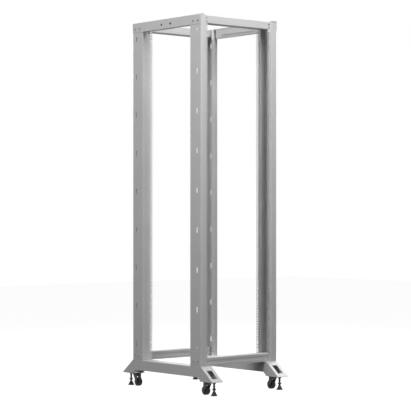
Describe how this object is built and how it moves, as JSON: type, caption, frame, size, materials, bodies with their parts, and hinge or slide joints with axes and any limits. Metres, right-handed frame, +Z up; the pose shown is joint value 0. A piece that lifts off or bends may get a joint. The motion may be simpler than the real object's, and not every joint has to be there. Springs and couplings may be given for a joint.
{
  "type": "four post open frame server rack",
  "caption": "Tall open frame rack of bent steel posts and beams with square hole equipment rails, sloping feet, swivel casters and levelling feet.",
  "frame": {"origin": "on the floor, midway between the posts", "axes": "+X to the right seen from the front, +Y to the rear, +Z up"},
  "size_m": [0.575, 0.808, 2.103],
  "materials": {
    "powder_coat": "fine matt powder coat",
    "black_steel": "black plated, slightly glossy",
    "zinc": "zinc plated, satin",
    "black_plastic": "moulded, satin"
  },
  "bodies": {
    "frame": {"front_bottom_beam": "powder_coat", "front_left_caster_head": "black_steel", "front_left_foot": "powder_coat", "front_left_foot_plate": "powder_coat", "front_left_post": "powder_coat", "front_right_caster_head": "black_steel", "front_right_foot": "powder_coat", "front_right_foot_plate": "powder_coat", "front_right_post": "powder_coat", "front_top_beam": "powder_coat", "left_base_beam": "powder_coat", "left_side_bolts": "zinc", "left_top_beam": "powder_coat", "rear_bottom_beam": "powder_coat", "rear_left_caster_head": "black_steel", "rear_left_foot": "powder_coat", "rear_left_foot_plate": "powder_coat", "rear_left_post": "powder_coat", "rear_right_caster_head": "black_steel", "rear_right_foot": "powder_coat", "rear_right_foot_plate": "powder_coat", "rear_right_post": "powder_coat", "rear_top_beam": "powder_coat", "right_base_beam": "powder_coat", "right_side_bolts": "zinc", "right_top_beam": "powder_coat"},
    "front_left_fork": {"front_left_caster_fork": "black_steel"},
    "front_left_wheel": {"front_left_caster_wheel": "black_plastic"},
    "front_left_leveler": {"front_left_leveler_pad": "black_plastic", "front_left_leveler_stud": "black_steel"},
    "front_right_fork": {"front_right_caster_fork": "black_steel"},
    "front_right_wheel": {"front_right_caster_wheel": "black_plastic"},
    "front_right_leveler": {"front_right_leveler_pad": "black_plastic", "front_right_leveler_stud": "black_steel"},
    "rear_left_fork": {"rear_left_caster_fork": "black_steel"},
    "rear_left_wheel": {"rear_left_caster_wheel": "black_plastic"},
    "rear_left_leveler": {"rear_left_leveler_pad": "black_plastic", "rear_left_leveler_stud": "black_steel"},
    "rear_right_fork": {"rear_right_caster_fork": "black_steel"},
    "rear_right_wheel": {"rear_right_caster_wheel": "black_plastic"},
    "rear_right_leveler": {"rear_right_leveler_pad": "black_plastic", "rear_right_leveler_stud": "black_steel"}
  },
  "joints": [
    {"name": "front_left_caster_swivel", "type": "hinge", "parent": "frame", "child": "front_left_fork", "pos_m": [-0.244, -0.319, 0.07], "axis": [0, 0, 1], "continuous": true},
    {"name": "front_left_wheel_roll", "type": "hinge", "parent": "front_left_fork", "child": "front_left_wheel", "pos_m": [-0.244, -0.306, 0.0253], "axis": [1, 0, 0], "continuous": true},
    {"name": "front_left_leveler_screw", "type": "slide", "parent": "frame", "child": "front_left_leveler", "axis": [0, 0, 1], "range_m": [-0.02, 0.02]},
    {"name": "front_right_caster_swivel", "type": "hinge", "parent": "frame", "child": "front_right_fork", "pos_m": [0.244, -0.319, 0.07], "axis": [0, 0, 1], "continuous": true},
    {"name": "front_right_wheel_roll", "type": "hinge", "parent": "front_right_fork", "child": "front_right_wheel", "pos_m": [0.244, -0.306, 0.0253], "axis": [1, 0, 0], "continuous": true},
    {"name": "front_right_leveler_screw", "type": "slide", "parent": "frame", "child": "front_right_leveler", "axis": [0, 0, 1], "range_m": [-0.02, 0.02]},
    {"name": "rear_left_caster_swivel", "type": "hinge", "parent": "frame", "child": "rear_left_fork", "pos_m": [-0.244, 0.319, 0.07], "axis": [0, 0, 1], "continuous": true},
    {"name": "rear_left_wheel_roll", "type": "hinge", "parent": "rear_left_fork", "child": "rear_left_wheel", "pos_m": [-0.244, 0.306, 0.0253], "axis": [1, 0, 0], "continuous": true},
    {"name": "rear_left_leveler_screw", "type": "slide", "parent": "frame", "child": "rear_left_leveler", "axis": [0, 0, 1], "range_m": [-0.02, 0.02]},
    {"name": "rear_right_caster_swivel", "type": "hinge", "parent": "frame", "child": "rear_right_fork", "pos_m": [0.244, 0.319, 0.07], "axis": [0, 0, 1], "continuous": true},
    {"name": "rear_right_wheel_roll", "type": "hinge", "parent": "rear_right_fork", "child": "rear_right_wheel", "pos_m": [0.244, 0.306, 0.0253], "axis": [1, 0, 0], "continuous": true},
    {"name": "rear_right_leveler_screw", "type": "slide", "parent": "frame", "child": "rear_right_leveler", "axis": [0, 0, 1], "range_m": [-0.02, 0.02]}
  ]
}
